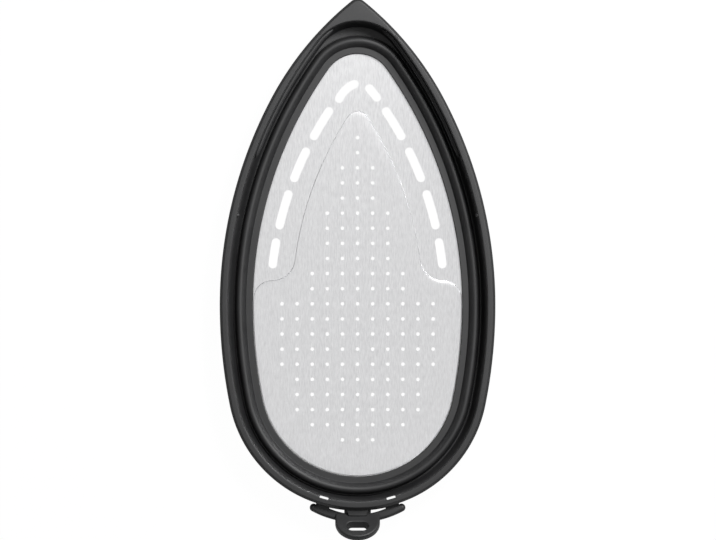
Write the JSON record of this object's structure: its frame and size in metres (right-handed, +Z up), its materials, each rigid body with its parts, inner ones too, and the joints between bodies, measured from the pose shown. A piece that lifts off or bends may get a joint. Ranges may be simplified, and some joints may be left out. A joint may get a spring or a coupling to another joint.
{
  "type": "iron shoe cover",
  "caption": "Slip-on shoe for the sole of a clothes iron: a moulded frame round a pressed metal plate with steam openings.",
  "frame": {"origin": "bottom centre of the bounding box, on the surface that the sole rests on", "axes": "+Y towards the nose, +Z up from the sole to the opening that the iron goes in, +X to the right seen from above with the nose away"},
  "size_m": [0.1274, 0.2502, 0.0221],
  "materials": {
    "frame_moulding": "satin black heat-resistant moulding, slightly rubbery",
    "sole_sheet": "pale sheet metal, brushed lengthwise"
  },
  "bodies": {
    "root": {"frame": "frame_moulding", "sole_plate": "sole_sheet"}
  },
  "joints": []
}
